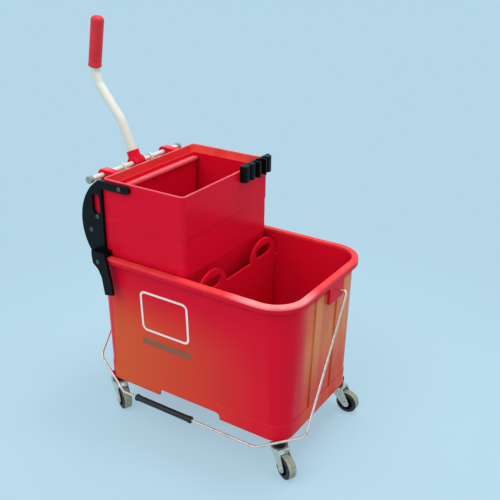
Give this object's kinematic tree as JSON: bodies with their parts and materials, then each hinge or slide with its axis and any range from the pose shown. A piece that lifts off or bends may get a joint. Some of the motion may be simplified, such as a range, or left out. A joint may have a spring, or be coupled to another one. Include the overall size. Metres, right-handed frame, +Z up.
{
  "type": "mop bucket with wringer",
  "caption": "Wheeled mopping bucket with a lever-worked side-press wringer, lift-out divider, wire bail and mop handle clip.",
  "frame": {"origin": "on the floor, under the middle of the bucket's rim", "axes": "+X along the bucket from the wringer to the open end, +Y from the front to the back, +Z up"},
  "size_m": [0.6373, 0.36, 0.8481],
  "materials": {
    "red_plastic": "glossy injection-moulded red plastic",
    "red_divider": "glossy red plastic sheet moulding",
    "dark_grate": "matt red plastic grate",
    "black_plastic": "satin black moulded plastic",
    "cream_steel": "cream powder-coated steel tube",
    "zinc_steel": "bright zinc-plated steel",
    "grey_plastic": "grey moulded plastic",
    "fork_steel": "pale zinc-plated pressed steel",
    "wheel_plastic": "black plastic wheel centre",
    "tyre_rubber": "grey-black rubber tyre"
  },
  "bodies": {
    "bucket": {"bucket_shell": "red_plastic", "caster_bushes": "black_plastic"},
    "wringer": {"wringer_box": "red_plastic", "drain_grate": "dark_grate", "bracket_front": "black_plastic", "bracket_rear": "black_plastic", "bracket_screws": "zinc_steel", "mop_clip": "black_plastic", "plate_pin": "zinc_steel"},
    "lever": {"cross_shaft": "cream_steel", "lever_socket": "red_plastic", "lever_tube": "cream_steel", "lever_grip": "red_plastic", "shaft_caps": "grey_plastic", "crank_arms": "cream_steel", "crank_followers": "grey_plastic", "crank_pins": "zinc_steel"},
    "press": {"press_plate": "red_plastic"},
    "divider": {"divider_panel": "red_divider"},
    "bail": {"bail_wire": "zinc_steel"},
    "bail_sleeve": {"bail_grip": "black_plastic"},
    "caster_front_right": {"caster_fork_front_right": "fork_steel", "caster_stem_front_right": "fork_steel", "wheel_axle_front_right": "fork_steel"},
    "wheel_front_right": {"wheel_hub_front_right": "wheel_plastic", "tyre_front_right": "tyre_rubber"},
    "caster_front_left": {"caster_fork_front_left": "fork_steel", "caster_stem_front_left": "fork_steel", "wheel_axle_front_left": "fork_steel"},
    "wheel_front_left": {"wheel_hub_front_left": "wheel_plastic", "tyre_front_left": "tyre_rubber"},
    "caster_rear_right": {"caster_fork_rear_right": "fork_steel", "caster_stem_rear_right": "fork_steel", "wheel_axle_rear_right": "fork_steel"},
    "wheel_rear_right": {"wheel_hub_rear_right": "wheel_plastic", "tyre_rear_right": "tyre_rubber"},
    "caster_rear_left": {"caster_fork_rear_left": "fork_steel", "caster_stem_rear_left": "fork_steel", "wheel_axle_rear_left": "fork_steel"},
    "wheel_rear_left": {"wheel_hub_rear_left": "wheel_plastic", "tyre_rear_left": "tyre_rubber"}
  },
  "joints": [
    {"name": "wringer_lift", "type": "slide", "parent": "bucket", "child": "wringer", "axis": [0, 0, 1], "range_m": [0, 0.47]},
    {"name": "lever_pull", "type": "hinge", "parent": "wringer", "child": "lever", "pos_m": [-0.241, 0, 0.544], "axis": [0, -1, 0], "range_deg": [0, 42], "stiffness_Nm_per_rad": 0.8, "springref_deg": -34.38},
    {"name": "press_swing", "type": "hinge", "parent": "wringer", "child": "press", "pos_m": [-0.17, 0, 0.275], "axis": [0, 1, 0], "range_deg": [0, 19.4]},
    {"name": "divider_lift", "type": "slide", "parent": "bucket", "child": "divider", "axis": [0, 0, 1], "range_m": [0, 0.62]},
    {"name": "bail_swing", "type": "hinge", "parent": "bucket", "child": "bail", "pos_m": [0, 0.038, 0.353], "axis": [-1, 0, 0], "range_deg": [0, 130]},
    {"name": "bail_grip_slide", "type": "slide", "parent": "bail", "child": "bail_sleeve", "axis": [1, 0, 0], "range_m": [-0.032, 0.154]},
    {"name": "swivel_front_right", "type": "hinge", "parent": "bucket", "child": "caster_front_right", "pos_m": [0.216, -0.13, 0.06], "axis": [0, 0, 1], "continuous": true},
    {"name": "roll_front_right", "type": "hinge", "parent": "caster_front_right", "child": "wheel_front_right", "pos_m": [0.24095, -0.14271, 0.025], "axis": [-0.454, -0.891, 0], "continuous": true},
    {"name": "swivel_front_left", "type": "hinge", "parent": "bucket", "child": "caster_front_left", "pos_m": [-0.216, -0.13, 0.06], "axis": [0, 0, 1], "continuous": true},
    {"name": "roll_front_left", "type": "hinge", "parent": "caster_front_left", "child": "wheel_front_left", "pos_m": [-0.19105, -0.14271, 0.025], "axis": [-0.454, -0.891, 0], "continuous": true},
    {"name": "swivel_rear_right", "type": "hinge", "parent": "bucket", "child": "caster_rear_right", "pos_m": [0.216, 0.13, 0.06], "axis": [0, 0, 1], "continuous": true},
    {"name": "roll_rear_right", "type": "hinge", "parent": "caster_rear_right", "child": "wheel_rear_right", "pos_m": [0.244, 0.13, 0.025], "axis": [0, -1, 0], "continuous": true},
    {"name": "swivel_rear_left", "type": "hinge", "parent": "bucket", "child": "caster_rear_left", "pos_m": [-0.216, 0.13, 0.06], "axis": [0, 0, 1], "continuous": true},
    {"name": "roll_rear_left", "type": "hinge", "parent": "caster_rear_left", "child": "wheel_rear_left", "pos_m": [-0.18861, 0.13582, 0.025], "axis": [0.2079, -0.9781, 0], "continuous": true}
  ],
  "couplings": [
    {"joint": "press_swing", "follows": "lever_pull", "ratio": 0.46}
  ]
}
